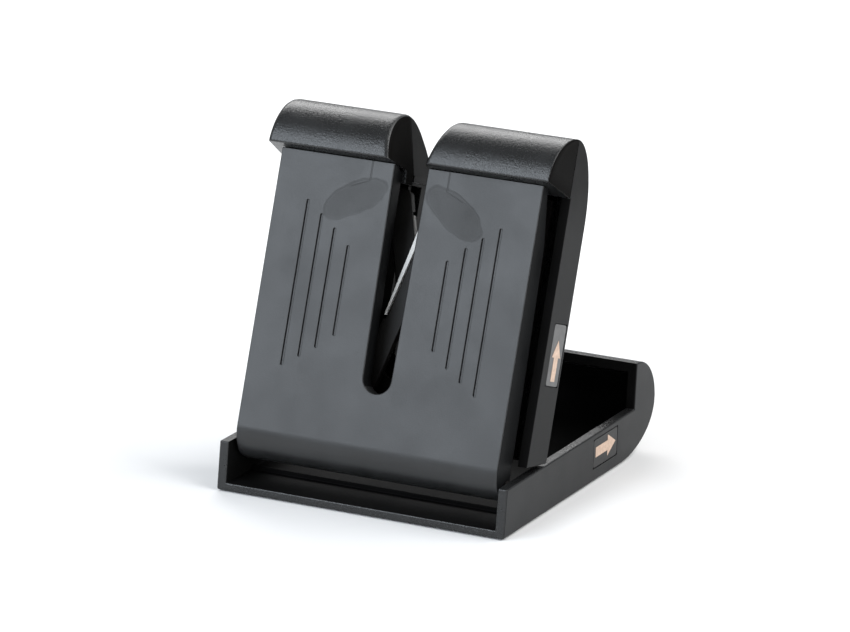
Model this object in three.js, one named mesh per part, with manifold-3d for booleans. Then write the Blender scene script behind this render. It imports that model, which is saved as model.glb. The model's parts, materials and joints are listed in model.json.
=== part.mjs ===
// A folding pocket knife sharpener of black plastic, standing open.
// A shallow tray with one high round end is the foot. A slotted upright hinges on a
// steel axle at the tray's front and leans back. Two sprung arms with ceramic hones
// cross in the slot. To close it, the upright folds forward while its axle runs back
// along grooves in the tray's side walls, and the two shells then meet as one capsule.
//
// Millimetres, +X right, +Y to the rear, +Z up.
import * as THREE from 'three';
import { mergeVertices } from 'three/addons/utils/BufferGeometryUtils.js';
import Module from 'manifold-3d';

const wasm = await Module();
wasm.setup();

// ---- driving dimensions -------------------------------------------------------------

const HALF_WIDTH = 45;
const LENGTH = 104;
const CAPSULE_DEPTH = 28;
const HALF_DEPTH = CAPSULE_DEPTH / 2;
const WALL = 2.9;
const FLOOR = 2.3;
// The tray's front edges lean out by this much from their tops down to its underside.
const FRONT_RAKE = 1.4;
const WALL_TOP = 14.2;
const BELLY_RADIUS = 24;
const GAP = 0.3;
const ROUND_STEPS = 18;
// A cutter that passes right through a piece starts and ends this far out.
const FAR = 40;

const FOOT_RADIUS = 5;
const FOOT_RECESS = 1;
const FOOT_PROUD = 0.4;
const FOOT_X = 34;
const FOOT_ROWS = { front: 12, rear: 70 };

// The upright is drawn in its own frame: x to the right, y up along the front plate
// from its foot, z out of the plate's face towards the user.
const LEAN = THREE.MathUtils.degToRad(17.96);
const PLATE_FOOT = new THREE.Vector3(0, 2.0, 18.15);
const PLATE_HALF_WIDTH = 40.85;
const PLATE_TOP = 80.8;
const PLATE_SKIN = 2.2;
const PLATE_BEND_RADIUS = 9;
const PLATE_BEND_START = 1;
const SLOT_TOP_HALF = 5.2;
const SLOT_FOOT_HALF = 4.3;
const SLOT_FOOT = 15.9;
const SLOT_COLLAR = 1.6;
const GROOVES = [
  { x: 15.5, low: 30.2, high: 56.0 },
  { x: 20.5, low: 26.0, high: 60.3 },
  { x: 25.2, low: 22.8, high: 63.8 },
  { x: 30.1, low: 19.6, high: 67.2 },
];
const GROOVE_WIDTH = 0.7;
const GROOVE_DEPTH = 0.5;

const BACK = -24;
const MIDLINE = BACK + HALF_DEPTH;
const UPRIGHT_END = 95.4;
const HEAD_FOOT = 78.7;
const HEAD_LIP = 81.9;
const HEAD_SKIN = 2.2;
const HEAD_DRAFT = 0.096;
// The blade's way between the heads, on one side: its wall's x at the foot and at the
// waist, how fast it flares above the waist, and how much it opens towards the front.
const THROAT = { foot: 75.7, footX: 3.3, waist: HEAD_FOOT, waistX: 3.4, slope: 0.235, draft: 0.1 };
const BACK_WALL_FRONT = -10.5;
const BACK_SLOT_HALF = 4.6;
const BACK_SLOT_FOOT = 24;

const ARM_PLATE_REAR = -16.5;
const ARM_PLATE_FRONT = -14.5;
const ARM_FRONT = -8.2;
const ARM_THICKNESS = 2.5;
const ARM_LAYERS_MIDDLE = -10.95;
const ARM_PIVOT = { x: -8.5, y: 12 };
const PIN_RADIUS = 1.5;

const CASE_SCREWS = { lower: { x: 31, y: 12 }, upper: { x: 31, y: 66 } };
const CASE_SCREW_SEAT = -19.5;
const CASE_SCREW_LENGTH = 14;
const HEAD_SCREW = { x: 25, y: 86 };
const HEAD_SCREW_SEAT = -16.5;
const HEAD_SCREW_LENGTH = 10;
const SCREW = { headRadius: 2.7, headHeight: 2, shankRadius: 1.25 };
const SCREW_BOSS = 4.4;
const SCREW_POST = 3.2;
const SCREW_HOLE = 1.65;
const SCREW_BORE = 1.6;
const SCREW_BORE_END = -4.5;

// The axle's height puts the closed upright's plate this far above the tray's underside.
const CLOSED_PLATE_HEIGHT = 4;
const AXLE_Z = -7.5;
const AXLE_RADIUS = 1.25;
const AXLE_HALF_LENGTH = 43.3;
const AXLE_TRAVEL = 75.5;
const TRACK_HALF_HEIGHT = 1.6;
const TRACK_FLOOR_X = 43.6;

const LABEL_FILM = 0.2;
const LABEL_RECESS = 0.45;

// ---- looks --------------------------------------------------------------------------

const LOOKS = {
  shell: { color: 0x232427, roughness: 0.45, metalness: 0 },
  plate: { color: 0x2b2e31, roughness: 0.5, metalness: 0 },
  arm: { color: 0x2a2b2c, roughness: 0.55, metalness: 0 },
  hone: { color: 0xf1efe9, roughness: 0.35, metalness: 0 },
  steel: { color: 0xb4b7ba, roughness: 0.3, metalness: 1 },
  rubber: { color: 0x17181a, roughness: 0.9, metalness: 0 },
  label: { color: 0xc3a895, roughness: 0.5, metalness: 0 },
};

// ---- solids -------------------------------------------------------------------------

function toSolid(geometry) {
  const plain = new THREE.BufferGeometry();
  plain.setAttribute('position', geometry.getAttribute('position'));
  if (geometry.index) plain.setIndex(geometry.index);
  const merged = mergeVertices(plain, 1e-4);
  const vertProperties = new Float32Array(merged.getAttribute('position').array);
  const triVerts = new Uint32Array(merged.index.array);
  return new wasm.Manifold(new wasm.Mesh({ numProp: 3, vertProperties, triVerts }));
}

function toGeometry(solid) {
  const mesh = solid.getMesh();
  const geometry = new THREE.BufferGeometry();
  const positions = new Float32Array(mesh.vertProperties);
  geometry.setAttribute('position', new THREE.BufferAttribute(positions, 3));
  geometry.setIndex(new THREE.BufferAttribute(new Uint32Array(mesh.triVerts), 1));
  geometry.computeVertexNormals();
  return geometry;
}

function join(...solids) {
  return solids.reduce((whole, solid) => whole.add(solid));
}

function cut(solid, ...cutters) {
  return cutters.reduce((whole, cutter) => whole.subtract(cutter), solid);
}

function toShape(points) {
  return new THREE.Shape(points.map(([a, b]) => new THREE.Vector2(a, b)));
}

// An outline in the X-Y plane, extruded from z0 up to z1.
function prismZ(points, z0, z1) {
  const geometry = new THREE.ExtrudeGeometry(toShape(points), { depth: z1 - z0, bevelEnabled: false });
  geometry.translate(0, 0, z0);
  return toSolid(geometry);
}

// A side outline in the Y-Z plane, extruded from x0 to x1.
function prismX(points, x0, x1) {
  const geometry = new THREE.ExtrudeGeometry(toShape(points), { depth: x1 - x0, bevelEnabled: false });
  const turn = new THREE.Matrix4().makeBasis(
    new THREE.Vector3(0, 1, 0),
    new THREE.Vector3(0, 0, 1),
    new THREE.Vector3(1, 0, 0),
  );
  geometry.applyMatrix4(turn);
  geometry.translate(x0, 0, 0);
  return toSolid(geometry);
}

function block([x0, x1], [y0, y1], [z0, z1]) {
  const geometry = new THREE.BoxGeometry(x1 - x0, y1 - y0, z1 - z0);
  geometry.translate((x0 + x1) / 2, (y0 + y1) / 2, (z0 + z1) / 2);
  return toSolid(geometry);
}

function rodX(y, z, radius, x0, x1, sides = 24) {
  const geometry = new THREE.CylinderGeometry(radius, radius, x1 - x0, sides);
  geometry.rotateZ(Math.PI / 2);
  geometry.translate((x0 + x1) / 2, y, z);
  return toSolid(geometry);
}

function rodZ(x, y, radius, z0, z1, sides = 24) {
  const geometry = new THREE.CylinderGeometry(radius, radius, z1 - z0, sides);
  geometry.rotateX(Math.PI / 2);
  geometry.translate(x, y, (z0 + z1) / 2);
  return toSolid(geometry);
}

// Points along an ellipse's arc, from one angle to the other, both ends included.
function arc(centreA, centreB, radiusA, radiusB, fromDegrees, toDegrees, steps = ROUND_STEPS) {
  const points = [];
  for (let i = 0; i <= steps; i += 1) {
    const angle = THREE.MathUtils.degToRad(fromDegrees + ((toDegrees - fromDegrees) * i) / steps);
    points.push([centreA + radiusA * Math.cos(angle), centreB + radiusB * Math.sin(angle)]);
  }
  return points;
}

function mirrored(solid) {
  return solid.mirror([1, 0, 0]);
}

// Keeps the part of a solid that lies on the plane's far side, where its normal points.
function trimmed(solid, normal, point) {
  const away = new THREE.Vector3(...normal).normalize();
  return solid.trimByPlane(away.toArray(), away.dot(new THREE.Vector3(...point)));
}

function named(name, solidOrGeometry, look) {
  const isGeometry = solidOrGeometry instanceof THREE.BufferGeometry;
  const geometry = isGeometry ? solidOrGeometry : toGeometry(solidOrGeometry);
  const mesh = new THREE.Mesh(geometry, new THREE.MeshStandardMaterial(LOOKS[look]));
  mesh.name = name;
  return mesh;
}

// ---- the shells' shared side outline ------------------------------------------------

// From the flat belly round the end and back along the inner half, as [y, z] points.
// inset moves the outline inwards by a wall's thickness.
function roundEnd(end, belly, inset) {
  const middle = belly + HALF_DEPTH;
  const reach = HALF_DEPTH - inset;
  const lower = arc(end - BELLY_RADIUS, middle, BELLY_RADIUS - inset, reach, -90, 0);
  const upper = arc(end - HALF_DEPTH, middle, reach, reach, 0, 90);
  return { lower, upper: upper.slice(1) };
}

// A flat label lies in a shallow recess on a right-hand side wall.
function labelRecess([y0, y1], [z0, z1]) {
  return block([HALF_WIDTH - LABEL_RECESS, HALF_WIDTH + 1], [y0 - GAP, y1 + GAP], [z0 - GAP, z1 + GAP]);
}

function label(name, [y0, y1], [z0, z1]) {
  return named(name, block([HALF_WIDTH - LABEL_FILM, HALF_WIDTH], [y0, y1], [z0, z1]), 'label');
}

const BASE_LABEL = [[60, 76.6], [4, 12.4]];
const UPRIGHT_LABEL = [[26, 43.5], [-22.6, -14.4]];

// ---- base ---------------------------------------------------------------------------

function baseShell(axle) {
  const outline = roundEnd(LENGTH, 0, 0);
  const hollow = roundEnd(LENGTH, 0, WALL);
  const floorEnd = LENGTH - BELLY_RADIUS;
  const hoodFront = { foot: 88.7, top: 89.3 };
  const mouth = hoodFront.foot - 3;
  const inside = HALF_WIDTH - WALL;
  const rib = { y: [13.7, 14.9], z: [FLOOR - 0.5, 3.6] };
  const outer = prismX(
    [
      [-FRONT_RAKE, 0],
      ...outline.lower,
      ...outline.upper,
      [hoodFront.top, CAPSULE_DEPTH],
      [hoodFront.foot, WALL_TOP],
      [0, WALL_TOP],
    ],
    -HALF_WIDTH,
    HALF_WIDTH,
  );
  const cavity = prismX(
    [
      [-FAR, FLOOR],
      [floorEnd, FLOOR],
      ...hollow.lower.slice(1),
      ...hollow.upper,
      [mouth, CAPSULE_DEPTH - WALL],
      [mouth, FAR],
      [-FAR, FAR],
    ],
    -inside,
    inside,
  );
  const stopRib = block([-inside - 0.5, inside + 0.5], rib.y, rib.z);
  const track = trackCutter(axle, inside - 1, TRACK_FLOOR_X);
  const feet = footPlaces().map(({ x, y }) => rodZ(x, y, FOOT_RADIUS + GAP, -1, FOOT_RECESS, 32));
  const recesses = [track, mirrored(track), labelRecess(...BASE_LABEL), ...feet];
  return named('base_shell', cut(join(cut(outer, cavity), stopRib), ...recesses), 'shell');
}

// The groove that an axle's end runs in, from the open position to the closed one.
function trackCutter(axle, x0, x1) {
  const reach = TRACK_HALF_HEIGHT;
  const front = arc(axle.y, axle.z, reach, reach, 90, 270, 12);
  const rear = arc(axle.y + AXLE_TRAVEL, axle.z, reach, reach, -90, 90, 12);
  return prismX([...front, ...rear], x0, x1);
}

function footPlaces() {
  const places = [];
  for (const [row, y] of Object.entries(FOOT_ROWS)) {
    places.push({ name: `foot_pad_${row}_left`, x: -FOOT_X, y });
    places.push({ name: `foot_pad_${row}_right`, x: FOOT_X, y });
  }
  return places;
}

function footPads() {
  return footPlaces().map(({ name, x, y }) => {
    return named(name, rodZ(x, y, FOOT_RADIUS, -FOOT_PROUD, FOOT_RECESS - GAP, 32), 'rubber');
  });
}

// ---- axle ---------------------------------------------------------------------------

function axleParts(axle) {
  const rod = rodX(axle.y, axle.z, AXLE_RADIUS, -AXLE_HALF_LENGTH, AXLE_HALF_LENGTH);
  const washer = cut(rodX(axle.y, axle.z, 2.6, 41.15, 41.8), rodX(axle.y, axle.z, 1.6, 41, 42));
  return [
    named('hinge_axle', rod, 'steel'),
    named('axle_washer_right', washer, 'arm'),
    named('axle_washer_left', mirrored(washer), 'arm'),
  ];
}

// ---- upright: front cover -----------------------------------------------------------

function slotOutline(grow, top) {
  const footHalf = SLOT_FOOT_HALF + grow;
  const topHalf = SLOT_TOP_HALF + grow;
  const round = arc(0, SLOT_FOOT + SLOT_FOOT_HALF, footHalf, footHalf, 180, 360, 20);
  return [[-topHalf, top], ...round, [topHalf, top]];
}

function grooveCutters() {
  const half = GROOVE_WIDTH / 2;
  return GROOVES.flatMap(({ x, low, high }) => {
    const foot = arc(x, low + half, half, half, 180, 360, 6);
    const head = arc(x, high - half, half, half, 0, 180, 6);
    const groove = prismZ([...foot, ...head], -GROOVE_DEPTH, 1);
    return [groove, mirrored(groove)];
  });
}

function frontCover(axle) {
  const bend = PLATE_BEND_RADIUS;
  const start = PLATE_BEND_START;
  const innerRadius = bend - PLATE_SKIN;
  const outerBend = arc(start, -bend, bend, bend, 90, 180, 12);
  const innerBend = arc(start, -bend, innerRadius, innerRadius, 90, 180, 12);
  const flangeRear = [
    [start - bend, -10.1],
    [3, -9.8],
    [29.7, -8.9],
    [64, -7.3],
    [PLATE_TOP - 0.7, -3.3],
  ];
  const outline = [[PLATE_TOP, 0], ...outerBend, ...flangeRear];
  const outer = prismX(outline, -PLATE_HALF_WIDTH, PLATE_HALF_WIDTH);
  const insideTop = PLATE_TOP - PLATE_SKIN;
  const inside = PLATE_HALF_WIDTH - PLATE_SKIN;
  const hollow = prismX(
    [[insideTop, -PLATE_SKIN], ...innerBend, [start - innerRadius, -FAR], [insideTop, -FAR]],
    -inside,
    inside,
  );
  const collar = prismZ(slotOutline(SLOT_COLLAR, PLATE_TOP - 1.5), -5.5, -1);
  const slot = prismZ(slotOutline(0, PLATE_TOP + 5), -FAR, 5);
  const screws = Object.values(CASE_SCREWS);
  const posts = screws.map(({ x, y }) => rodZ(x, y, SCREW_POST, ARM_PLATE_FRONT + GAP, -1));
  const postBores = screws.map(({ x, y }) => rodZ(x, y, SCREW_BORE, -FAR, SCREW_BORE_END));
  const pinBoss = rodZ(ARM_PIVOT.x, ARM_PIVOT.y, 2 * PIN_RADIUS, -6.2, -1);
  const pinBore = rodZ(ARM_PIVOT.x, ARM_PIVOT.y, PIN_RADIUS + GAP, -FAR, -3);
  const axleBore = rodX(axle.y, axle.z, AXLE_RADIUS + 0.35, -HALF_WIDTH, HALF_WIDTH);
  const supports = join(...posts, ...posts.map(mirrored), pinBoss, mirrored(pinBoss));
  const bores = [...postBores, ...postBores.map(mirrored), pinBore, mirrored(pinBore)];
  const body = join(cut(outer, hollow), collar, supports);
  return named('front_cover', cut(body, slot, axleBore, ...bores, ...grooveCutters()), 'plate');
}

// ---- upright: back shell and head caps ----------------------------------------------

function screwSeat({ x, y }, rear, seat, front) {
  return {
    boss: rodZ(x, y, SCREW_BOSS, rear, front),
    sink: rodZ(x, y, SCREW.headRadius + 0.4, -FAR, seat),
    hole: rodZ(x, y, SCREW_HOLE, -FAR, 0),
  };
}

function backShell() {
  const outline = roundEnd(UPRIGHT_END, BACK, 0);
  const hollow = roundEnd(UPRIGHT_END, BACK, WALL);
  const inside = HALF_WIDTH - WALL;
  const foot = { front: 2.3, rear: 4.2 };
  const outer = prismX(
    [
      [foot.rear, BACK],
      ...outline.lower,
      [HEAD_FOOT, MIDLINE],
      [HEAD_FOOT - 0.1, BACK_WALL_FRONT],
      [foot.front, BACK_WALL_FRONT],
    ],
    -HALF_WIDTH,
    HALF_WIDTH,
  );
  const innerBack = BACK + FLOOR;
  const tray = prismX(
    [
      [-1, innerBack],
      [UPRIGHT_END - BELLY_RADIUS, innerBack],
      [HEAD_FOOT, innerBack + 0.9],
      [HEAD_FOOT, FAR],
      [-1, FAR],
    ],
    -inside,
    inside,
  );
  const headInside = [
    [HEAD_FOOT - 1, -20],
    ...hollow.lower.slice(8),
    [UPRIGHT_END - WALL, FAR],
    [HEAD_FOOT - 1, FAR],
  ];
  const throatSide = [THROAT.waistX + HEAD_SKIN, THROAT.waist, 0];
  const headHollow = trimmed(prismX(headInside, 0, inside), [1, -THROAT.slope, 0], throatSide);
  const collar = prismZ(backSlotOutline(SLOT_COLLAR, HEAD_FOOT), BACK + 1, -19.2);
  const slot = prismZ(backSlotOutline(0, THROAT.foot + 1), -FAR, 5);
  const throat = prismZ(throatOutline(0), -FAR, 5);
  const throatSkin = prismZ(throatOutline(HEAD_SKIN), BACK + 1, MIDLINE);
  const throatWalls = trimmed(throatSkin, [0, -1, 0], [0, THROAT.waist + 3, 0]).intersect(outer);
  const seats = Object.values(CASE_SCREWS).map((place) => {
    return screwSeat(place, BACK + 1, CASE_SCREW_SEAT, ARM_PLATE_REAR - GAP);
  });
  seats.push(screwSeat(HEAD_SCREW, -21.5, HEAD_SCREW_SEAT, -14.2));
  const bosses = join(...seats.flatMap(({ boss }) => [boss, mirrored(boss)])).intersect(outer);
  const drills = seats.flatMap(({ sink, hole }) => [sink, hole, mirrored(sink), mirrored(hole)]);
  const body = join(cut(outer, tray, headHollow, mirrored(headHollow)), collar, throatWalls, bosses);
  const recess = labelRecess(...UPRIGHT_LABEL);
  return named('back_shell', cut(body, slot, throat, recess, ...drills), 'shell');
}

// Where the throat's wall is at height y above its waist.
function throatX(y) {
  return THROAT.waistX + THROAT.slope * (y - THROAT.waist);
}

// The throat between the heads, grown to both sides: narrow at its foot, flared at its mouth.
function throatOutline(grow) {
  const top = UPRIGHT_END + 5;
  const side = [
    [THROAT.footX + grow, THROAT.foot],
    [THROAT.waistX + grow, THROAT.waist],
    [throatX(top) + grow, top],
  ];
  return [...side, ...side.map(([x, y]) => [-x, y]).reverse()];
}

function backSlotOutline(grow, top) {
  const half = BACK_SLOT_HALF + grow;
  const round = arc(0, BACK_SLOT_FOOT + BACK_SLOT_HALF, half, half, 180, 360, 20);
  return [[-half, top], ...round, [half, top]];
}

function headCap(name, side) {
  const radius = HALF_DEPTH;
  const centre = UPRIGHT_END - radius;
  const seam = MIDLINE + GAP;
  const lipAngle = THREE.MathUtils.radToDeg(Math.acos((HEAD_LIP - centre) / radius));
  const crown = arc(centre, MIDLINE, radius, radius, 1.3, lipAngle, 24);
  const innerCrown = arc(centre, MIDLINE, radius - HEAD_SKIN, radius - HEAD_SKIN, 0, 78, 20);
  const innerEnd = [1, -THROAT.slope, -THROAT.draft];
  const outerEnd = [-1, 0, -HEAD_DRAFT];
  const drafted = (outline, skin) => {
    const whole = prismX(outline, 0, HALF_WIDTH);
    const half = trimmed(whole, outerEnd, [HALF_WIDTH - skin, 0, MIDLINE]);
    return trimmed(half, innerEnd, [THROAT.waistX + skin, THROAT.waist, MIDLINE]);
  };
  const outer = drafted([...crown, [HEAD_FOOT, seam]], 0);
  const rear = seam - 3;
  const inner = [[UPRIGHT_END - HEAD_SKIN, rear], ...innerCrown, [HEAD_FOOT + 3.1, rear]];
  const hollow = drafted(inner, HEAD_SKIN);
  const tongue = throatTongue(seam, innerEnd);
  const post = rodZ(HEAD_SCREW.x, HEAD_SCREW.y, SCREW_POST, -13.9, 1.2);
  const bore = rodZ(HEAD_SCREW.x, HEAD_SCREW.y, SCREW_BORE, -FAR, SCREW_BORE_END);
  const cap = cut(join(cut(outer, hollow), tongue, post), bore);
  return named(name, side > 0 ? cap : mirrored(cap), 'shell');
}

// The cap's inner wall runs on down the throat, behind the front plate's collar.
function throatTongue(seam, innerEnd) {
  const bar = block([0, THROAT.footX + HEAD_SKIN], [THROAT.foot, THROAT.waist + 1.5], [seam, -5.8]);
  const slope = (THROAT.waistX - THROAT.footX) / (THROAT.waist - THROAT.foot);
  const waist = [THROAT.waistX, THROAT.waist, MIDLINE];
  return trimmed(trimmed(bar, innerEnd, waist), [1, -slope, -THROAT.draft], waist);
}

// ---- upright: mechanism plate, pins and screws --------------------------------------

function mechanismPlate() {
  const sheet = block([-38, 38], [2, 77.5], [ARM_PLATE_REAR, ARM_PLATE_FRONT]);
  const half = 6.5;
  const way = prismZ([[-half, 90], ...arc(0, 26.5, half, half, 180, 360, 20), [half, 90]], -FAR, 0);
  const screwHoles = Object.values(CASE_SCREWS).map(({ x, y }) => rodZ(x, y, SCREW_HOLE, -FAR, 0));
  const pinHole = rodZ(ARM_PIVOT.x, ARM_PIVOT.y, PIN_RADIUS + GAP, -FAR, 0);
  const holes = [...screwHoles, ...screwHoles.map(mirrored), pinHole, mirrored(pinHole)];
  return named('mechanism_plate', cut(sheet, way, ...holes), 'arm');
}

function pivotPins() {
  const pin = rodZ(ARM_PIVOT.x, ARM_PIVOT.y, PIN_RADIUS, -16.2, -3.6);
  return [named('pivot_pin_left', pin, 'steel'), named('pivot_pin_right', mirrored(pin), 'steel')];
}

// A cross-recessed screw seen from behind: its head at the rear, its tip to the front.
function screw(name, x, y, seat, length) {
  const { headRadius, headHeight, shankRadius } = SCREW;
  const top = seat - GAP;
  const head = rodZ(x, y, headRadius, top - headHeight, top, 20);
  const shank = rodZ(x, y, shankRadius, top - 0.5, top + length, 16);
  const recess = { reach: 1.6, half: 0.35, depth: 1.1 };
  const bottom = top - headHeight + recess.depth;
  const slots = [
    block([x - recess.reach, x + recess.reach], [y - recess.half, y + recess.half], [-FAR, bottom]),
    block([x - recess.half, x + recess.half], [y - recess.reach, y + recess.reach], [-FAR, bottom]),
  ];
  return named(name, cut(join(head, shank), ...slots), 'steel');
}

function screws() {
  const parts = [];
  for (const [side, sign] of [['left', -1], ['right', 1]]) {
    for (const [row, { x, y }] of Object.entries(CASE_SCREWS)) {
      const name = `case_screw_${row}_${side}`;
      parts.push(screw(name, sign * x, y, CASE_SCREW_SEAT, CASE_SCREW_LENGTH));
    }
    const name = `head_screw_${side}`;
    parts.push(screw(name, sign * HEAD_SCREW.x, HEAD_SCREW.y, HEAD_SCREW_SEAT, HEAD_SCREW_LENGTH));
  }
  return parts;
}

// ---- arms ---------------------------------------------------------------------------

// An arm leans across the slot. Its outline widens upwards between two straight edges,
// each given as the x of that edge at a height y up the upright.
const armInnerEdge = (y) => 0.3 + 0.248 * (y - 58.6);
const armOuterEdge = (y) => 0.2 + 0.28 * (y - 33.4);
const honeOuterEdge = (y) => 0.7 + 0.288 * (y - 55.2);

const HONE = { low: 38.4, high: 67.5, front: 0.25, thickness: 1.5 };

function armCarrier() {
  const rear = ARM_FRONT - ARM_THICKNESS;
  const foot = 14;
  const top = 72.5;
  const topHalf = (armOuterEdge(top) - armInnerEdge(top)) / 2;
  const topMiddle = (armOuterEdge(top) + armInnerEdge(top)) / 2;
  const crown = arc(topMiddle, top, topHalf, 2.2, 0, 180, 14);
  const outline = [[armInnerEdge(foot), foot], [armOuterEdge(foot), foot], ...crown];
  const bar = prismZ(outline, rear, ARM_FRONT);
  const hub = rodZ(ARM_PIVOT.x, ARM_PIVOT.y, 4, rear, ARM_FRONT, 28);
  const bore = rodZ(ARM_PIVOT.x, ARM_PIVOT.y, PIN_RADIUS + GAP, -FAR, 0);
  const seat = prismZ(
    [
      [armInnerEdge(HONE.low - 1) - 1, HONE.low - 1],
      [honeOuterEdge(HONE.low - 1) + GAP, HONE.low - 1],
      [honeOuterEdge(HONE.high + 1) + GAP, HONE.high + 1],
      [armInnerEdge(HONE.high + 1) - 1, HONE.high + 1],
    ],
    ARM_FRONT + HONE.front - HONE.thickness - GAP,
    0,
  );
  return cut(join(bar, hub), bore, seat);
}

function hone() {
  const front = ARM_FRONT + HONE.front;
  return prismZ(
    [
      [armInnerEdge(HONE.low), HONE.low],
      [honeOuterEdge(HONE.low), HONE.low],
      [honeOuterEdge(HONE.high), HONE.high],
      [armInnerEdge(HONE.high), HONE.high],
    ],
    front - HONE.thickness,
    front,
  );
}

// A torsion spring round the arm's pin: a long leg up the arm, three turns, a short leg out.
function armSpring() {
  const coil = { radius: 2.6, wire: 0.3, turns: 3, front: -11.4, rear: -13.4, steps: 14 };
  const leg = { up: 12, out: 7 };
  const points = [];
  const add = (x, y, z) => points.push(new THREE.Vector3(ARM_PIVOT.x + x, ARM_PIVOT.y + y, z));
  for (let i = 0; i < 4; i += 1) {
    add(coil.radius, leg.up - (leg.up * i) / 4, coil.front);
  }
  const count = coil.turns * coil.steps;
  for (let i = 0; i <= count; i += 1) {
    const angle = (-2 * Math.PI * i) / coil.steps;
    const z = coil.front + ((coil.rear - coil.front) * i) / count;
    add(coil.radius * Math.cos(angle), coil.radius * Math.sin(angle), z);
  }
  for (let i = 1; i <= 3; i += 1) {
    add(coil.radius - 0.02 * i, (-leg.out * i) / 3, coil.rear);
  }
  const extrudePath = new THREE.CatmullRomCurve3(points);
  const section = toShape(arc(0, 0, coil.wire, coil.wire, 0, 300, 5));
  const settings = { steps: 90, extrudePath, bevelEnabled: false };
  return toGeometry(toSolid(new THREE.ExtrudeGeometry(section, settings)));
}

function arm(layer) {
  const group = new THREE.Group();
  group.add(named(`${layer}_arm`, armCarrier(), 'arm'));
  group.add(named(`${layer}_hone`, hone(), 'hone'));
  group.add(named(`${layer}_spring`, armSpring(), 'steel'));
  return group;
}

// The rear arm is the front arm turned half a turn about the upright's middle.
function rearArm() {
  const group = arm('rear');
  group.rotation.y = Math.PI;
  group.position.z = 2 * ARM_LAYERS_MIDDLE;
  return group;
}

// ---- the object ---------------------------------------------------------------------

const alongUpright = new THREE.Vector3(0, Math.sin(LEAN), Math.cos(LEAN));
const outOfPlate = new THREE.Vector3(0, -Math.cos(LEAN), Math.sin(LEAN));
const axleHeight = CLOSED_PLATE_HEIGHT - AXLE_Z;
const axleUp = (axleHeight - PLATE_FOOT.z - AXLE_Z * outOfPlate.z) / alongUpright.z;
const axleInUpright = { y: axleUp, z: AXLE_Z };
const axleInBase = { y: PLATE_FOOT.y + axleUp * alongUpright.y + AXLE_Z * outOfPlate.y, z: axleHeight };

function upright() {
  const group = new THREE.Group();
  group.add(backShell());
  group.add(frontCover(axleInUpright));
  group.add(headCap('head_cap_right', 1), headCap('head_cap_left', -1));
  group.add(mechanismPlate(), ...pivotPins(), ...screws());
  group.add(label('arrow_label_upright', ...UPRIGHT_LABEL));
  group.add(arm('front'), rearArm());
  group.position.copy(PLATE_FOOT);
  group.rotation.x = Math.PI / 2 - LEAN;
  return group;
}

function sharpener() {
  const group = new THREE.Group();
  group.add(baseShell(axleInBase), ...footPads(), label('arrow_label_base', ...BASE_LABEL));
  group.add(...axleParts(axleInBase));
  group.add(upright());
  group.position.set(0, (FRONT_RAKE - LENGTH) / 2, FOOT_PROUD);
  return group;
}

const model = new THREE.Group();
model.add(sharpener());

export default model;
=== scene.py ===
"""The looks of a folding pocket knife sharpener, standing open.

Every shell, arm and screw is a copy of its CAD solid with its edges rounded, and it rides on the
same CAD body. Lengths here are in millimetres, and MM turns them into the frame's metres.
"""

import json
import math

import bmesh
import bpy
from mathutils import Matrix, Vector


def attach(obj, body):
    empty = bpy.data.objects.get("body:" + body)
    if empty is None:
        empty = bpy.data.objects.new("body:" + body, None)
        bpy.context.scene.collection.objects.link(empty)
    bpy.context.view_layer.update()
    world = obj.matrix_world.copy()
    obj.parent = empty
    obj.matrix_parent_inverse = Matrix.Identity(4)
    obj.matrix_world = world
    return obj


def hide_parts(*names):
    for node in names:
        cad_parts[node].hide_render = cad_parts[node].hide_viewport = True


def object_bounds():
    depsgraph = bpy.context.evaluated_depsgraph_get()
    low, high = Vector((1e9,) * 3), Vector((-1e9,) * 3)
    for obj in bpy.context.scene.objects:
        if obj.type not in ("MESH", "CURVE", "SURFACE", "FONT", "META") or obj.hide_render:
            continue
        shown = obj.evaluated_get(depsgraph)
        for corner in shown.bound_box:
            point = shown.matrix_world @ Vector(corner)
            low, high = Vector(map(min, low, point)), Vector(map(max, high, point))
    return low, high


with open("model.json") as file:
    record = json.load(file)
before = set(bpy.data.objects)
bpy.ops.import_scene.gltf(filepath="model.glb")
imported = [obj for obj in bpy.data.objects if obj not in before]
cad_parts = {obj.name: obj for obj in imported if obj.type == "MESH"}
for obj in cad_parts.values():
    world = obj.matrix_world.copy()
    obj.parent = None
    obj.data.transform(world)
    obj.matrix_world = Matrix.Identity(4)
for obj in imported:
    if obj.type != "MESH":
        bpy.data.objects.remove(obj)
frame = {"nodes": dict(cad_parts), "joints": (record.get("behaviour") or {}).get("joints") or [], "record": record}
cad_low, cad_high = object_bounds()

MM = 0.001
JOINTS = {joint["name"]: joint for joint in frame["joints"]}

# ---- frames -------------------------------------------------------------------------
# The base is measured from its front edge and from the surface that it stands on. The
# upright has a frame of its own: x to the right, t up along its front plate, and n out
# of the plate's face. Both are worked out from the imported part.

OUT = -Vector(JOINTS["front_arm_swing"]["axis"]).normalized()
UP = OUT.cross(Vector((1, 0, 0))).normalized()
PLATE_TOP = 80.8
# The tray's front leans out below its top edge, and lengths along the base start at that edge.
FRONT_RAKE = 1.4


def plate_origin():
    points = [vertex.co for vertex in frame["nodes"]["front_cover"].data.vertices]
    highest = max(point.dot(UP) for point in points)
    face = max(point.dot(OUT) for point in points)
    return UP * (highest - PLATE_TOP * MM) + OUT * face


ORIGIN = plate_origin()


def in_upright(point):
    """A point of the frame, as (x, t, n) in the upright's millimetres."""
    offset = point - ORIGIN
    return Vector((offset.x, offset.dot(UP), offset.dot(OUT))) / MM


def in_base(point):
    """A point of the frame, as (x, y, z) in the base's millimetres."""
    return Vector((point.x, point.y - cad_low.y, point.z - cad_low.z)) / MM - Vector((0, FRONT_RAKE, 0))


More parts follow.
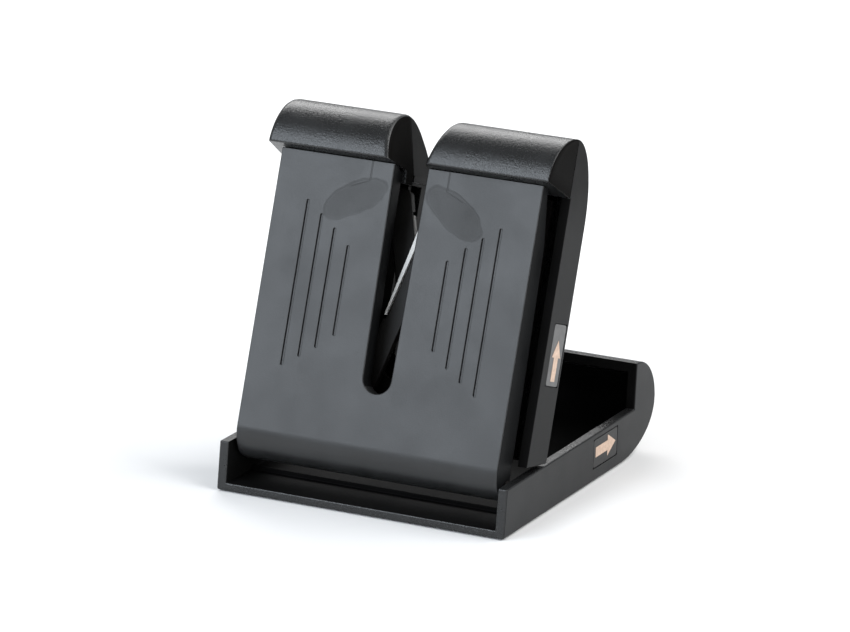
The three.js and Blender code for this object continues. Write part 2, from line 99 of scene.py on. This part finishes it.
def from_upright(x, t, n):
    return ORIGIN + (Vector((1, 0, 0)) * x + UP * t + OUT * n) * MM


def from_base(x, y, z):
    return Vector((x * MM, cad_low.y + (y + FRONT_RAKE) * MM, cad_low.z + z * MM))


# ---- materials ----------------------------------------------------------------------

MICRON = 0.000001


class Nodes:
    """A material's node tree, with short calls for the nodes that the materials share."""

    def __init__(self, name):
        self.material = bpy.data.materials.new(name)
        self.material.use_nodes = True
        self.tree = self.material.node_tree
        self.shader = self.tree.nodes["Principled BSDF"]
        coordinates = self.tree.nodes.new("ShaderNodeTexCoord")
        self.place = coordinates.outputs["Object"]

    def put(self, value, socket):
        if isinstance(value, bpy.types.NodeSocket):
            self.tree.links.new(value, socket)
        elif value is not None:
            socket.default_value = value

    def noise(self, scale, detail=2.0, roughness=0.5, place=None):
        node = self.tree.nodes.new("ShaderNodeTexNoise")
        node.inputs["Scale"].default_value = scale
        node.inputs["Detail"].default_value = detail
        node.inputs["Roughness"].default_value = roughness
        self.put(self.place if place is None else place, node.inputs["Vector"])
        return node.outputs["Fac"]

    def math(self, operation, a, b=None):
        node = self.tree.nodes.new("ShaderNodeMath")
        node.operation = operation
        self.put(a, node.inputs[0])
        self.put(b, node.inputs[1])
        return node.outputs[0]

    def plus(self, a, b):
        return self.math("ADD", a, b)

    def minus(self, a, b):
        return self.math("SUBTRACT", a, b)

    def times(self, a, b):
        return self.math("MULTIPLY", a, b)

    def size(self, a):
        return self.math("ABSOLUTE", a)

    def larger(self, a, b):
        return self.math("MAXIMUM", a, b)

    def dot(self, vector, direction):
        node = self.tree.nodes.new("ShaderNodeVectorMath")
        node.operation = "DOT_PRODUCT"
        self.put(vector, node.inputs[0])
        node.inputs[1].default_value = direction
        return node.outputs["Value"]

    def up_the_plate(self):
        """The distance up the upright, from where t is 0."""
        return self.minus(self.dot(self.place, UP), ORIGIN.dot(UP))

    def stretched(self, scale):
        node = self.tree.nodes.new("ShaderNodeMapping")
        node.inputs["Scale"].default_value = scale
        self.put(self.place, node.inputs["Vector"])
        return node.outputs["Vector"]

    def ramp(self, value, low, high, start=0.0, end=1.0):
        """A number that goes from low to high while value goes from start to end, smoothly."""
        node = self.tree.nodes.new("ShaderNodeMapRange")
        node.interpolation_type = "SMOOTHSTEP"
        self.put(value, node.inputs["Value"])
        limits = {"From Min": start, "From Max": end, "To Min": low, "To Max": high}
        for name, number in limits.items():
            node.inputs[name].default_value = number
        return node.outputs["Result"]

    def mix(self, factor, a, b):
        node = self.tree.nodes.new("ShaderNodeMix")
        node.data_type = "RGBA"
        self.put(factor, node.inputs["Factor"])
        self.put(a, node.inputs["A"])
        self.put(b, node.inputs["B"])
        return node.outputs["Result"]

    def bump(self, height, distance, strength=1.0, normal=None):
        node = self.tree.nodes.new("ShaderNodeBump")
        node.inputs["Strength"].default_value = strength
        node.inputs["Distance"].default_value = distance
        self.put(height, node.inputs["Height"])
        self.put(normal, node.inputs["Normal"])
        return node.outputs["Normal"]

    def set(self, **values):
        for name, value in values.items():
            self.put(value, self.shader.inputs[name.replace("_", " ").title()])

    def now(self, name):
        """What is linked to that input of the shader so far."""
        return self.shader.inputs[name].links[0].from_socket

    def shine(self, level):
        self.shader.inputs["Specular IOR Level"].default_value = level


def grey(level, blue=0.0):
    """A neutral colour of that brightness, with a little blue if asked."""
    return (level, level * (1 + blue / 2), level * (1 + blue), 1)


def plastic(name, level, rough, grain, blue=0.08, shine=0.5, pitch=3600):
    """Moulded plastic: a spark-eroded grain, faint cloudiness, and uneven gloss. level is its
    brightness, grain is the grain's depth, and pitch is how many grains there are in a metre."""
    nodes = Nodes(name)
    nodes.shine(shine)
    cloud = nodes.noise(90, 3)
    fine = nodes.noise(pitch, 2, 0.6)
    coarse = nodes.noise(pitch * 0.47, 2)
    cloudy = nodes.ramp(cloud, 0, 1, 0.3, 0.7)
    colour = nodes.mix(cloudy, grey(level * 0.86, blue), grey(level * 1.1, blue))
    gloss = nodes.plus(nodes.ramp(cloud, rough - 0.03, rough + 0.03, 0.3, 0.7),
                       nodes.ramp(fine, -0.03, 0.03, 0.3, 0.7))
    height = nodes.plus(fine, nodes.times(coarse, 0.6))
    nodes.set(base_color=colour, roughness=gloss, normal=nodes.bump(height, grain))
    return nodes


def shell_side():
    """The rear shell's sides, with painted light and shade: painted lighter along the walls than on the heads,
    which are painted darker.
    """
    # Painted light and shade: the sides keep a lighter colour below 66 mm up the plate and blend to a painted
    # shade, near black, above 88 mm.
    painted_light_to, painted_shade_from = 66 * MM, 88 * MM
    nodes = plastic("shell_side", 0.017, 0.45, 16 * MICRON, blue=0.04, shine=0.055)
    painted_shade = nodes.ramp(nodes.up_the_plate(), 0, 1, painted_light_to, painted_shade_from)
    nodes.set(base_color=nodes.mix(painted_shade, nodes.now("Base Color"), grey(0.0035)))
    return nodes


# The front plate has two sink marks, mirror images: slanting ovals in front of the parts behind it.
SINK_ACROSS = 15.6
SINK_UP = 69.4
SINK_SLANT = math.radians(-31)
SINK_HALF_LENGTH = 10.2
SINK_HALF_WIDTH = 4.7
# A thin flow line comes down to each mark, straight to the bend and then outwards.
FLOW_ACROSS = 12
FLOW_BEND = 75
FLOW_END = 72
FLOW_SPREAD = 2.4


def from_sink(nodes, across, along):
    """How far out a place is in its sink mark: 0 in the middle and about 1 on the uneven edge."""
    right = nodes.minus(across, SINK_ACROSS * MM)
    high = nodes.minus(along, SINK_UP * MM)

    def share(half, x, y):
        return nodes.plus(nodes.times(right, x / (half * MM)), nodes.times(high, y / (half * MM)))

    length = share(SINK_HALF_LENGTH, math.cos(SINK_SLANT), math.sin(SINK_SLANT))
    width = share(SINK_HALF_WIDTH, -math.sin(SINK_SLANT), math.cos(SINK_SLANT))
    squares = nodes.plus(nodes.math("POWER", length, 2), nodes.math("POWER", width, 2))
    reach = nodes.math("SQRT", squares)
    wobble = nodes.times(nodes.minus(nodes.noise(160, 1), 0.5), 0.5)
    return nodes.plus(reach, wobble)


def flow_line(nodes, across, along):
    """1 on the flow line and 0 beside it."""
    below_bend = nodes.larger(nodes.minus(FLOW_BEND * MM, along), 0)
    course = nodes.plus(nodes.times(below_bend, FLOW_SPREAD), FLOW_ACROSS * MM)
    line = nodes.ramp(nodes.size(nodes.minus(across, course)), 1, 0, 100 * MICRON, 350 * MICRON)
    return nodes.times(line, nodes.ramp(along, 0, 1, FLOW_END * MM, (FLOW_END + 1) * MM))


def plate_plastic():
    """The front plate: smoother plastic, with the sink marks and flow lines of its mould. The marks are real dips
    with rougher gloss, and their colour is painted darker as painted shade.
    """
    nodes = plastic("plate_plastic", 0.016, 0.38, 14 * MICRON, pitch=3000)
    across = nodes.size(nodes.dot(nodes.place, (1, 0, 0)))
    along = nodes.up_the_plate()
    reach = from_sink(nodes, across, along)
    inside = nodes.ramp(reach, 1, 0, 0.86, 1.06)
    rim = nodes.ramp(nodes.size(nodes.minus(reach, 0.98)), 0.5, 0, 0.02, 0.10)
    line = flow_line(nodes, across, along)
    marks = nodes.larger(nodes.larger(nodes.times(inside, 0.5), rim), nodes.times(line, 0.6))
    patchy = nodes.times(nodes.minus(nodes.noise(55, 4, 0.6), 0.5), 0.14)
    gloss = nodes.plus(nodes.plus(nodes.now("Roughness"), patchy), nodes.times(marks, 0.15))
    depth = nodes.plus(inside, nodes.plus(rim, line))
    dip = nodes.bump(depth, -40 * MICRON, 0.8, nodes.now("Normal"))
    # Painted shade: the sink marks, their rims and the flow line are painted darker, standing in for the shade in
    # their dips.
    dark = nodes.mix(marks, nodes.now("Base Color"), grey(0.002, -0.2))
    nodes.set(base_color=dark, roughness=gloss, normal=dip)
    return nodes


def ceramic():
    nodes = Nodes("ceramic")
    speck = nodes.noise(2600, 3, 0.7)
    pale = nodes.ramp(speck, 0, 1, 0.35, 0.7)
    colour = nodes.mix(pale, (0.80, 0.79, 0.76, 1), (0.93, 0.92, 0.90, 1))
    gloss = nodes.ramp(speck, 0.42, 0.6)
    nodes.set(base_color=colour, roughness=gloss, normal=nodes.bump(speck, 8 * MICRON))
    return nodes


def steel():
    nodes = Nodes("steel")
    brushed = nodes.noise(1, 3, 0.6, nodes.stretched((300, 5200, 5200)))
    colour = nodes.mix(brushed, (0.42, 0.43, 0.44, 1), (0.62, 0.62, 0.63, 1))
    gloss = nodes.ramp(brushed, 0.22, 0.42)
    nodes.shader.inputs["Metallic"].default_value = 1.0
    nodes.set(base_color=colour, roughness=gloss, normal=nodes.bump(brushed, 6 * MICRON))
    return nodes


def rubber():
    nodes = Nodes("rubber")
    grain = nodes.noise(3200, 3, 0.7)
    dust = nodes.noise(260, 2)
    colour = nodes.mix(nodes.ramp(dust, 0, 1, 0.4, 0.75), grey(0.013), grey(0.026))
    gloss = nodes.ramp(grain, 0.72, 0.9)
    nodes.set(base_color=colour, roughness=gloss, normal=nodes.bump(grain, 20 * MICRON))
    return nodes


def film(name, dark, light, shine=0.5):
    """A label's clear film with its grey backing, slightly rippled."""
    nodes = Nodes(name)
    nodes.shine(shine)
    ripple = nodes.noise(420, 2)
    colour = nodes.mix(nodes.ramp(ripple, 0, 1, 0.35, 0.65), grey(dark, 0.02), grey(light, 0.02))
    gloss = nodes.ramp(ripple, 0.28, 0.4)
    nodes.set(base_color=colour, roughness=gloss, normal=nodes.bump(ripple, 40 * MICRON))
    return nodes


def ink():
    """The arrows' beige print, with uneven wear."""
    nodes = Nodes("arrow_ink")
    patch = nodes.noise(900, 3, 0.6)
    worn = nodes.ramp(patch, 0, 1, 0.35, 0.7)
    colour = nodes.mix(worn, (0.47, 0.335, 0.25, 1), (0.60, 0.44, 0.34, 1))
    gloss = nodes.ramp(patch, 0.4, 0.55)
    nodes.set(base_color=colour, roughness=gloss, normal=nodes.bump(patch, 6 * MICRON))
    return nodes


LOOKS = {
    "black_plastic": plastic("black_plastic", 0.012, 0.29, 100 * MICRON, pitch=2300),
    # Painted shade: a darker, duller copy of the black plastic for the heads' end faces, which face the side and
    # stand in shade.
    "shaded_cap_end": plastic("shaded_cap_end", 0.005, 0.50, 16 * MICRON, blue=-0.08, shine=0.010),
    "shell_side": shell_side(),
    # Painted shade: a darker, duller copy of the plate's plastic for the front cover's side faces, the slot walls
    # and flanges, which lie in shade.
    "shaded_cover_side": plastic("shaded_cover_side", 0.008, 0.40, 12 * MICRON, blue=0.10, shine=0.03),
    "tray_side": plastic("tray_side", 0.012, 0.40, 18 * MICRON, blue=0.12, shine=0.17),
    # Painted shade: a darker, duller copy of the black plastic for the tray's inside and the rear shell walls'
    # front rims, where shade falls.
    "shaded_recess": plastic("shaded_recess", 0.006, 0.50, 14 * MICRON, blue=0.0, shine=0.02),
    "plate_plastic": plate_plastic(),
    "grey_plastic": plastic("grey_plastic", 0.014, 0.45, 10 * MICRON, blue=-0.1, shine=0.15),
    "ceramic": ceramic(),
    "steel": steel(),
    "rubber": rubber(),
    "film": film("label_film", 0.05, 0.075),
    "clear_film": film("clear_film", 0.012, 0.018, shine=0.2),
    "ink": ink(),
}

# ---- rounding -----------------------------------------------------------------------

WIDEST = 4.0
WELD = 2e-7
FLAT = math.radians(0.6)
CREASE = math.radians(24)


def finish_piece(piece, looks, body, slot_name, *stands_for):
    """Gives a piece its looks and its body, and hides the CAD nodes it stands for. slot_name is not used."""
    for look in looks:
        piece.data.materials.append(LOOKS[look].material)
    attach(piece, body)
    if stands_for:
        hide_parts(*stands_for)
    return piece


def smooth_piece(name, mesh):
    """A new object on that mesh, with its marked edges rounded and its faces shaded smooth."""
    piece = bpy.data.objects.new(name, mesh)
    bpy.context.scene.collection.objects.link(piece)
    bevel = piece.modifiers.new("round", "BEVEL")
    bevel.limit_method = "WEIGHT"
    bevel.offset_type = "OFFSET"
    bevel.width = WIDEST * MM
    bevel.segments = 4
    bevel.use_clamp_overlap = False
    normals = piece.modifiers.new("flat_faces", "WEIGHTED_NORMAL")
    normals.weight = 100
    normals.keep_sharp = True
    for polygon in mesh.polygons:
        polygon.use_smooth = True
    return piece


def rounded(node, rule, to_local, look_of):
    """A copy of a CAD node. rule gives each sharp edge's radius, from where its middle is and
    where it runs, and look_of says which of the piece's looks a face has, as a number."""
    bm = bmesh.new()
    bm.from_mesh(frame["nodes"][node].data)
    bmesh.ops.remove_doubles(bm, verts=bm.verts, dist=WELD)
    bmesh.ops.dissolve_limit(bm, angle_limit=FLAT, verts=bm.verts, edges=bm.edges)
    weight = bm.edges.layers.float.new("bevel_weight_edge")
    for edge in bm.edges:
        if len(edge.link_faces) != 2 or edge.calc_face_angle(0) < CREASE:
            continue
        a, b = (to_local(vertex.co) for vertex in edge.verts)
        radius = rule((a + b) / 2, b - a, edge.calc_face_angle_signed(0) > 0)
        edge[weight] = radius / WIDEST
        if radius == 0:
            edge.smooth = False
    for face in bm.faces:
        face.normal_update()
        centre = to_local(face.calc_center_median())
        face.material_index = look_of(centre, face.normal)
    mesh = bpy.data.meshes.new(node + "_skin")
    bm.to_mesh(mesh)
    bm.free()
    return smooth_piece(node + "_skin", mesh)


def material_of(node):
    for subpart in frame["record"]["subparts"]:
        if subpart["node"] == node:
            return subpart["material_slot"]
    raise KeyError(node)


def dress(node, body, rule, to_local, more_looks=(), look_of=lambda centre, normal: 0):
    """Puts a rounded copy in a CAD node's place. Its looks are its material and more_looks."""
    slot_name = material_of(node)
    piece = rounded(node, rule, to_local, look_of)
    return finish_piece(piece, [slot_name, *more_looks], body, slot_name, node)


def near(a, b, reach=0.06):
    return abs(a - b) < reach


HALF_WIDTH = 45
WALL_TOP = 14.2
SEAM = -10
CAP_SEAM = -9.7
HEAD_FROM = 78.5
CAP_FROM = 82
LIP = 81.9
LIP_ROUND = 0.5
# The heads' outer ends lean in from the seam to the lip.
OUTER_LEAN = 0.096
# Their inner ends are the throat's walls, which flare from the waist and lean back from the lip.
WAIST_UP = 78.7
WAIST_ACROSS = 3.4
THROAT_SLOPE = 0.235
THROAT_LEAN = 0.1
# Between these heights the throat's wall bends, and its edge stays sharp.
THROAT_BEND = (74, 80.2)
# The ends' radii. A pair is the radius at the lip and the one at the crown.
OUTER_LEFT_ROUND = (0.9, 4.0)
OUTER_RIGHT_ROUND = 0.45
INNER_LEFT_ROUND = (1.2, 2.6)
INNER_RIGHT_ROUND = 1.8
REAR_ROUND = (0.3, 4.0)
# The rims of the labels' recesses lie in these boxes: low and high corner, along and across.
UPRIGHT_RECESS = ((25, -23.3), (44.5, -13.8))
BASE_RECESS = ((59, 3.8), (77.5, 13.4))
RECESS_ROUND = 0.05


def growing(radii, along):
    """A radius that grows from the lip to the crown."""
    start, length = 84, 16
    way = min(max((along - start) / length, 0), 1)
    return radii[0] + (radii[1] - radii[0]) * way


def head_end(point):
    """The radius at the heads' four ends, or None elsewhere."""
    ahead = max(point.z - SEAM, 0)
    outer = HALF_WIDTH - OUTER_LEAN * ahead
    inner = WAIST_ACROSS + THROAT_SLOPE * (point.y - WAIST_UP) + THROAT_LEAN * ahead
    if near(abs(point.x), outer):
        return OUTER_RIGHT_ROUND if point.x > 0 else growing(OUTER_LEFT_ROUND, point.y)
    if near(abs(point.x), inner):
        return growing(INNER_LEFT_ROUND, point.y) if point.x > 0 else INNER_RIGHT_ROUND
    return None


def in_recess(point, box):
    low, high = box
    return low[0] < point.y < high[0] and low[1] < point.z < high[1]


def round_cap(point, along, convex):
    end = head_end(point)
    if near(point.z, CAP_SEAM):
        return 0
    if end is not None and point.y > CAP_FROM:
        return end if convex else 0.15
    if near(point.y, LIP, 0.3) and point.z > 3:
        return LIP_ROUND
    return 0.15


def round_back(point, along, convex):
    end = head_end(point)
    if in_recess(point, UPRIGHT_RECESS):
        return RECESS_ROUND
    if near(point.z, SEAM) and point.y > HEAD_FROM:
        return 0
    if convex and abs(point.x) < 4.5 and THROAT_BEND[0] < point.y < THROAT_BEND[1]:
        return 0
    if end is None or not convex:
        return 0.2 if convex else 0.15
    if point.y > HEAD_FROM:
        return min(end, growing(REAR_ROUND, point.y))
    return REAR_ROUND[0] if point.z < SEAM - 1 else 0.25


def round_cover(point, along, convex):
    plate_side, slot_side = 40.85, 6
    on_face = near(point.z, 0)
    if near(abs(point.x), plate_side) and point.z > CAP_SEAM and convex:
        return 0.4
    if on_face and abs(point.x) < slot_side:
        return 0.45
    if on_face and convex and point.y < PLATE_TOP - 0.8:
        return 0.22 if abs(along.y) > abs(along.x) else 0.14
    return 0.12


def round_base(point, along, convex):
    if in_recess(point, BASE_RECESS) and point.x > HALF_WIDTH - 1:
        return RECESS_ROUND
    if not convex:
        return 0.35
    if near(abs(point.x), HALF_WIDTH):
        return 0.6 if point.z < 14 and point.y > 0.1 else 0.5
    if point.y < 0.1:
        return 0.45
    return 0.3


def tiny(point, along, convex):
    return 0.12


def round_arm(point, along, convex):
    return 0.25


def round_pad(point, along, convex):
    return 0.3


def sharp(point, along, convex):
    return 0


def side_face(centre, normal):
    """1 on the faces that look to the side."""
    return int(abs(normal.x) > 0.8)


def shell_face(centre, normal):
    """1 on the rear shell's side walls, which get painted light and shade, and 2 on those walls' front rims, which
    get painted shade.
    """
    if side_face(centre, normal):
        return 1
    return 2 if abs(centre.x) > 41 and centre.y < HEAD_FROM and centre.z > -14 else 0


def tray_face(centre, normal):
    """1 on the tray's outer sides, and 2 on its inside, which gets the painted shade."""
    if abs(centre.x) > HALF_WIDTH - 0.6 and side_face(centre, normal):
        return 1
    inside = centre.y > 0.2 and 1.5 < centre.z < WALL_TOP + 8 and abs(centre.x) < HALF_WIDTH - 2
    faces_in = normal.z > 0.5 or abs(normal.x) > 0.8 or abs(normal.y) > 0.3
    return 2 if inside and faces_in else 0


dress("base_shell", "base", round_base, in_base, ("tray_side", "shaded_recess"), tray_face)
for row in ("front", "rear"):
    for side in ("left", "right"):
        dress(f"foot_pad_{row}_{side}", "base", round_pad, in_base)

for node in ("hinge_axle", "axle_washer_left", "axle_washer_right"):
    dress(node, "carriage", tiny, in_base)

dress("back_shell", "upright", round_back, in_upright, ("shell_side", "shaded_recess"), shell_face)
dress("front_cover", "upright", round_cover, in_upright, ("shaded_cover_side",), side_face)
for side in ("left", "right"):
    dress(f"head_cap_{side}", "upright", round_cap, in_upright, ("shaded_cap_end",), side_face)
    dress(f"pivot_pin_{side}", "upright", tiny, in_upright)
    dress(f"head_screw_{side}", "upright", tiny, in_upright)
    for row in ("lower", "upper"):
        dress(f"case_screw_{row}_{side}", "upright", tiny, in_upright)
dress("mechanism_plate", "upright", tiny, in_upright)

for layer in ("front", "rear"):
    body = f"{layer}_arm_body"
    dress(f"{layer}_arm", body, round_arm, in_upright)
    dress(f"{layer}_hone", body, tiny, in_upright)
    dress(f"{layer}_spring", body, sharp, in_upright)

# ---- labels -------------------------------------------------------------------------

FILM_THICKNESS = 0.14
ARROW_THICKNESS = 0.05
FILM_EDGE_ROUND = 0.01


def slab(name, outline, thickness, place):
    """A thin flat piece with that outline. place turns (across, up, out) into a point."""
    bm = bmesh.new()
    rear = [bm.verts.new(place(a, b, 0)) for a, b in outline]
    front = [bm.verts.new(place(a, b, thickness)) for a, b in outline]
    bm.faces.new(front)
    bm.faces.new(list(reversed(rear)))
    count = len(outline)
    for i in range(count):
        j = (i + 1) % count
        bm.faces.new((rear[i], rear[j], front[j], front[i]))
    bmesh.ops.recalc_face_normals(bm, faces=bm.faces)
    weight = bm.edges.layers.float.new("bevel_weight_edge")
    for edge in bm.edges:
        edge[weight] = FILM_EDGE_ROUND / WIDEST
    mesh = bpy.data.meshes.new(name)
    bm.to_mesh(mesh)
    bm.free()
    return smooth_piece(name, mesh)


def arrow(tail, tip, middle, shaft, head, head_length):
    neck = tip - head_length
    return [
        (tail, middle - shaft / 2),
        (neck, middle - shaft / 2),
        (neck, middle - head / 2),
        (tip, middle),
        (neck, middle + head / 2),
        (neck, middle + shaft / 2),
        (tail, middle + shaft / 2),
    ]


def film_outline(low, high, corner=0.8):
    """A rectangle between two points, with rounded corners."""
    sides = ((1, 1), (-1, 1), (-1, -1), (1, -1))
    steps = 4
    points = []
    for quarter, (right, above) in enumerate(sides):
        a = high[0] - corner if right > 0 else low[0] + corner
        b = high[1] - corner if above > 0 else low[1] + corner
        for step in range(steps + 1):
            angle = math.pi / 2 * (quarter + step / steps)
            points.append((a + corner * math.cos(angle), b + corner * math.sin(angle)))
    return points


def label(node, body, to_local, place, shape, film_look):
    """A clear film in the wall's recess, and the printed arrow on it."""
    corners = [to_local(vertex.co) for vertex in frame["nodes"][node].data.vertices]
    low = [min(corner[i] for corner in corners) for i in range(3)]
    high = [max(corner[i] for corner in corners) for i in range(3)]
    rear = high[0] - FILM_THICKNESS - ARROW_THICKNESS
    film_piece = slab(node + "_film", film_outline(low[1:], high[1:]), FILM_THICKNESS,
                      lambda a, b, out: place(rear + out, a, b))
    finish_piece(film_piece, [film_look], body, "label", node)
    arrow_piece = slab(node + "_arrow", shape, ARROW_THICKNESS,
                       lambda a, b, out: place(rear + FILM_THICKNESS + out, a, b))
    finish_piece(arrow_piece, ["ink"], body, "label")


BASE_ARROW = arrow(tail=61.3, tip=75.4, middle=8.9, shaft=3.0, head=6.4, head_length=5.6)
UPRIGHT_ARROW = arrow(tail=27.3, tip=39.0, middle=-18.6, shaft=2.9, head=6.0, head_length=4.9)
label("arrow_label_base", "base", in_base, from_base, BASE_ARROW, "clear_film")
label("arrow_label_upright", "upright", in_upright, from_upright, UPRIGHT_ARROW, "film")

# ---- stage, lights and camera -------------------------------------------------------

FLOOR_REACH = 6
# The camera looks at a point beside the box's middle, from this far off and from these angles.
AIM_OFFSET = Vector((-4.1, -3.7, -7.7)) * MM
CAMERA_DISTANCE = 1.649
CAMERA_ANGLES = {"azimuth": 24.96, "elevation": 16.13, "roll": 1.81}
LENS = 243.34


def floor():
    bm = bmesh.new()
    corners = ((-1, -1), (1, -1), (1, 1), (-1, 1))
    bm.faces.new([bm.verts.new((x * FLOOR_REACH, y * FLOOR_REACH, 0)) for x, y in corners])
    mesh = bpy.data.meshes.new("floor")
    bm.to_mesh(mesh)
    bm.free()
    piece = bpy.data.objects.new("floor", mesh)
    bpy.context.scene.collection.objects.link(piece)
    nodes = Nodes("floor_paper")
    tone = nodes.noise(3, 2)
    nodes.set(base_color=nodes.mix(tone, (0.86, 0.86, 0.86, 1), (0.9, 0.9, 0.9, 1)),
              roughness=nodes.ramp(tone, 0.85, 0.95))
    nodes.shine(0.1)
    mesh.materials.append(nodes.material)


def softbox(name, direction, distance, size, brightness, tint=(1, 1, 1)):
    """A soft light that faces the object. brightness is its radiance."""
    light = bpy.data.lights.new(name, "AREA")
    light.color = tint
    light.shape = "RECTANGLE"
    light.size, light.size_y = size
    light.energy = brightness * math.pi * size[0] * size[1]
    lamp = bpy.data.objects.new(name, light)
    bpy.context.scene.collection.objects.link(lamp)
    target = Vector((0, 0, 0.05))
    way = Vector(direction).normalized()
    lamp.location = target + way * distance
    lamp.rotation_euler = way.to_track_quat("Z", "Y").to_euler()


def studio():
    world = bpy.data.worlds.new("studio")
    bpy.context.scene.world = world
    world.use_nodes = True
    background = world.node_tree.nodes["Background"]
    background.inputs["Color"].default_value = (0.97, 0.985, 1.0, 1)
    background.inputs["Strength"].default_value = 0.3
    softbox("top_box", (-0.41, 0.68, 0.62), distance=0.8, size=(0.5, 0.4), brightness=4.6)
    softbox("front_box", (-0.41, -0.78, 0.47), distance=1.3, size=(0.9, 0.9), brightness=4.8,
            tint=(0.92, 1.0, 1.09))
    softbox("right_box", (0.91, -0.38, 0.16), distance=1.2, size=(0.2, 0.5), brightness=11)
    softbox("fill_box", (0.66, 0.20, 0.72), distance=1.6, size=(1.4, 1.4), brightness=4)


def camera():
    azimuth, elevation, roll = (math.radians(angle) for angle in CAMERA_ANGLES.values())
    back = Vector((math.sin(azimuth) * math.cos(elevation), -math.cos(azimuth) * math.cos(elevation),
                   math.sin(elevation)))
    right = Vector((math.cos(azimuth), math.sin(azimuth), 0))
    above = back.cross(right)
    turn = Matrix((right, above, back)).transposed() @ Matrix.Rotation(roll, 3, "Z")
    aim = (cad_low + cad_high) / 2 + AIM_OFFSET
    data = bpy.data.cameras.new("camera")
    data.lens = LENS
    data.sensor_width = 36
    data.clip_start = 0.1
    data.clip_end = 50
    eye = bpy.data.objects.new("camera", data)
    eye.matrix_world = Matrix.Translation(aim + back * CAMERA_DISTANCE) @ turn.to_4x4()
    bpy.context.scene.collection.objects.link(eye)
    bpy.context.scene.camera = eye


floor()
studio()
camera()
bpy.context.scene.view_settings.view_transform = "Standard"
